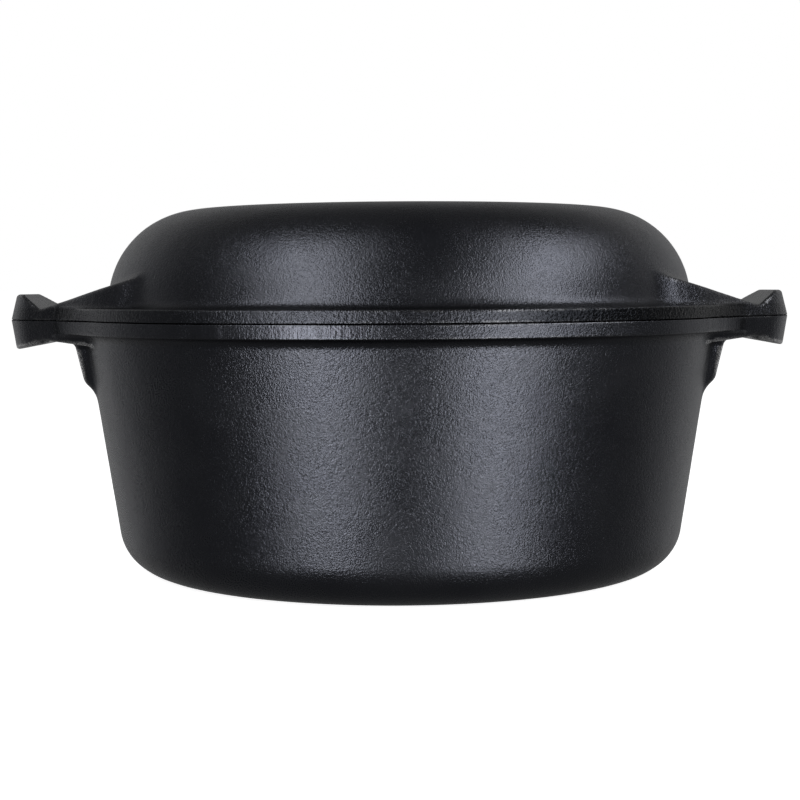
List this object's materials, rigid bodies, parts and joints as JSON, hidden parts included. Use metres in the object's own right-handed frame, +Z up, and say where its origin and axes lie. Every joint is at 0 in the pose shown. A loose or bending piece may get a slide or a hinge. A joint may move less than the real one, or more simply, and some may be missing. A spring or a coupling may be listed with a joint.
{
  "type": "cast iron dutch oven",
  "caption": "Round cast iron pot with a skillet that closes it as a domed lid; both castings carry wide loop handles that meet at the rim.",
  "frame": {"origin": "centre of the pot's flat base, on the surface it stands on", "axes": "+X through the middle of the handles, +Z up, out of the pot's mouth"},
  "size_m": [0.3266, 0.2702, 0.1498],
  "materials": {
    "cast_iron": "seasoned, as cast, fine sand grain"
  },
  "bodies": {
    "pot_body": {"pot": "cast_iron"},
    "lid_body": {"skillet_lid": "cast_iron"}
  },
  "joints": [
    {"name": "lid_lift", "type": "slide", "parent": "pot_body", "child": "lid_body", "axis": [0, 0, 1], "range_m": [0, 0.2]}
  ]
}
